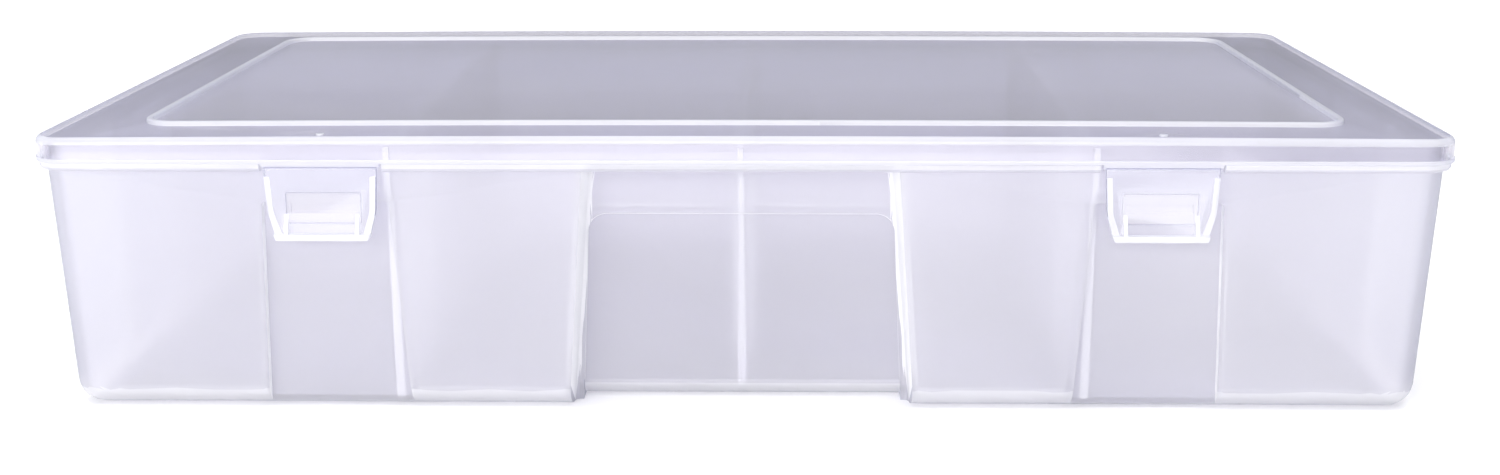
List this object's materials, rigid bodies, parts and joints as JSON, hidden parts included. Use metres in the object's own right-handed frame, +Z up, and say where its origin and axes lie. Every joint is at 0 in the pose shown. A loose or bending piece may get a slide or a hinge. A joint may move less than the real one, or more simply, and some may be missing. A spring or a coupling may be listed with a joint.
{
  "type": "parts sorting tray",
  "caption": "Clear plastic compartment box with a hinged lid, front flip latches, full-depth partitions and removable cross dividers for sorting small parts.",
  "frame": {"origin": "middle of the whole box's footprint, on the surface it stands on", "axes": "+X to the right along the front, +Y to the back, +Z up; the latches are on the -Y side"},
  "size_m": [0.36, 0.1994, 0.0742],
  "materials": {
    "tray_plastic": "clear natural polypropylene, slightly milky, satin sheen, hazy where seen edge on",
    "divider_plastic": "clear natural polypropylene, slightly milky, satin sheen",
    "lid_plastic": "clear natural polypropylene with a fine frosted texture inside the bead, glossy skirt",
    "latch_plastic": "clear natural polypropylene, glossy, milky at its edges"
  },
  "bodies": {
    "tray": {"tray_shell": "tray_plastic", "partition_left": "tray_plastic", "partition_centre": "tray_plastic", "partition_right": "tray_plastic", "divider_far_left_front": "divider_plastic", "divider_far_left_middle": "divider_plastic", "divider_far_left_rear": "divider_plastic", "divider_left_front": "divider_plastic", "divider_left_middle": "divider_plastic", "divider_left_rear": "divider_plastic", "divider_right_front": "divider_plastic", "divider_right_middle": "divider_plastic", "divider_right_rear": "divider_plastic", "divider_far_right_front": "divider_plastic", "divider_far_right_middle": "divider_plastic", "divider_far_right_rear": "divider_plastic"},
    "lid": {"lid": "lid_plastic"},
    "latch_left": {"latch_left": "latch_plastic"},
    "latch_right": {"latch_right": "latch_plastic"}
  },
  "joints": [
    {"name": "lid_hinge", "type": "hinge", "parent": "tray", "child": "lid", "pos_m": [0, 0.09698, 0.0655], "axis": [-1, 0, 0], "range_deg": [0, 110]},
    {"name": "latch_left_hinge", "type": "hinge", "parent": "lid", "child": "latch_left", "pos_m": [-0.1057, -0.09698, 0.0649], "axis": [-1, 0, 0], "range_deg": [0, 100]},
    {"name": "latch_right_hinge", "type": "hinge", "parent": "lid", "child": "latch_right", "pos_m": [0.1057, -0.09698, 0.0649], "axis": [-1, 0, 0], "range_deg": [0, 100]}
  ]
}
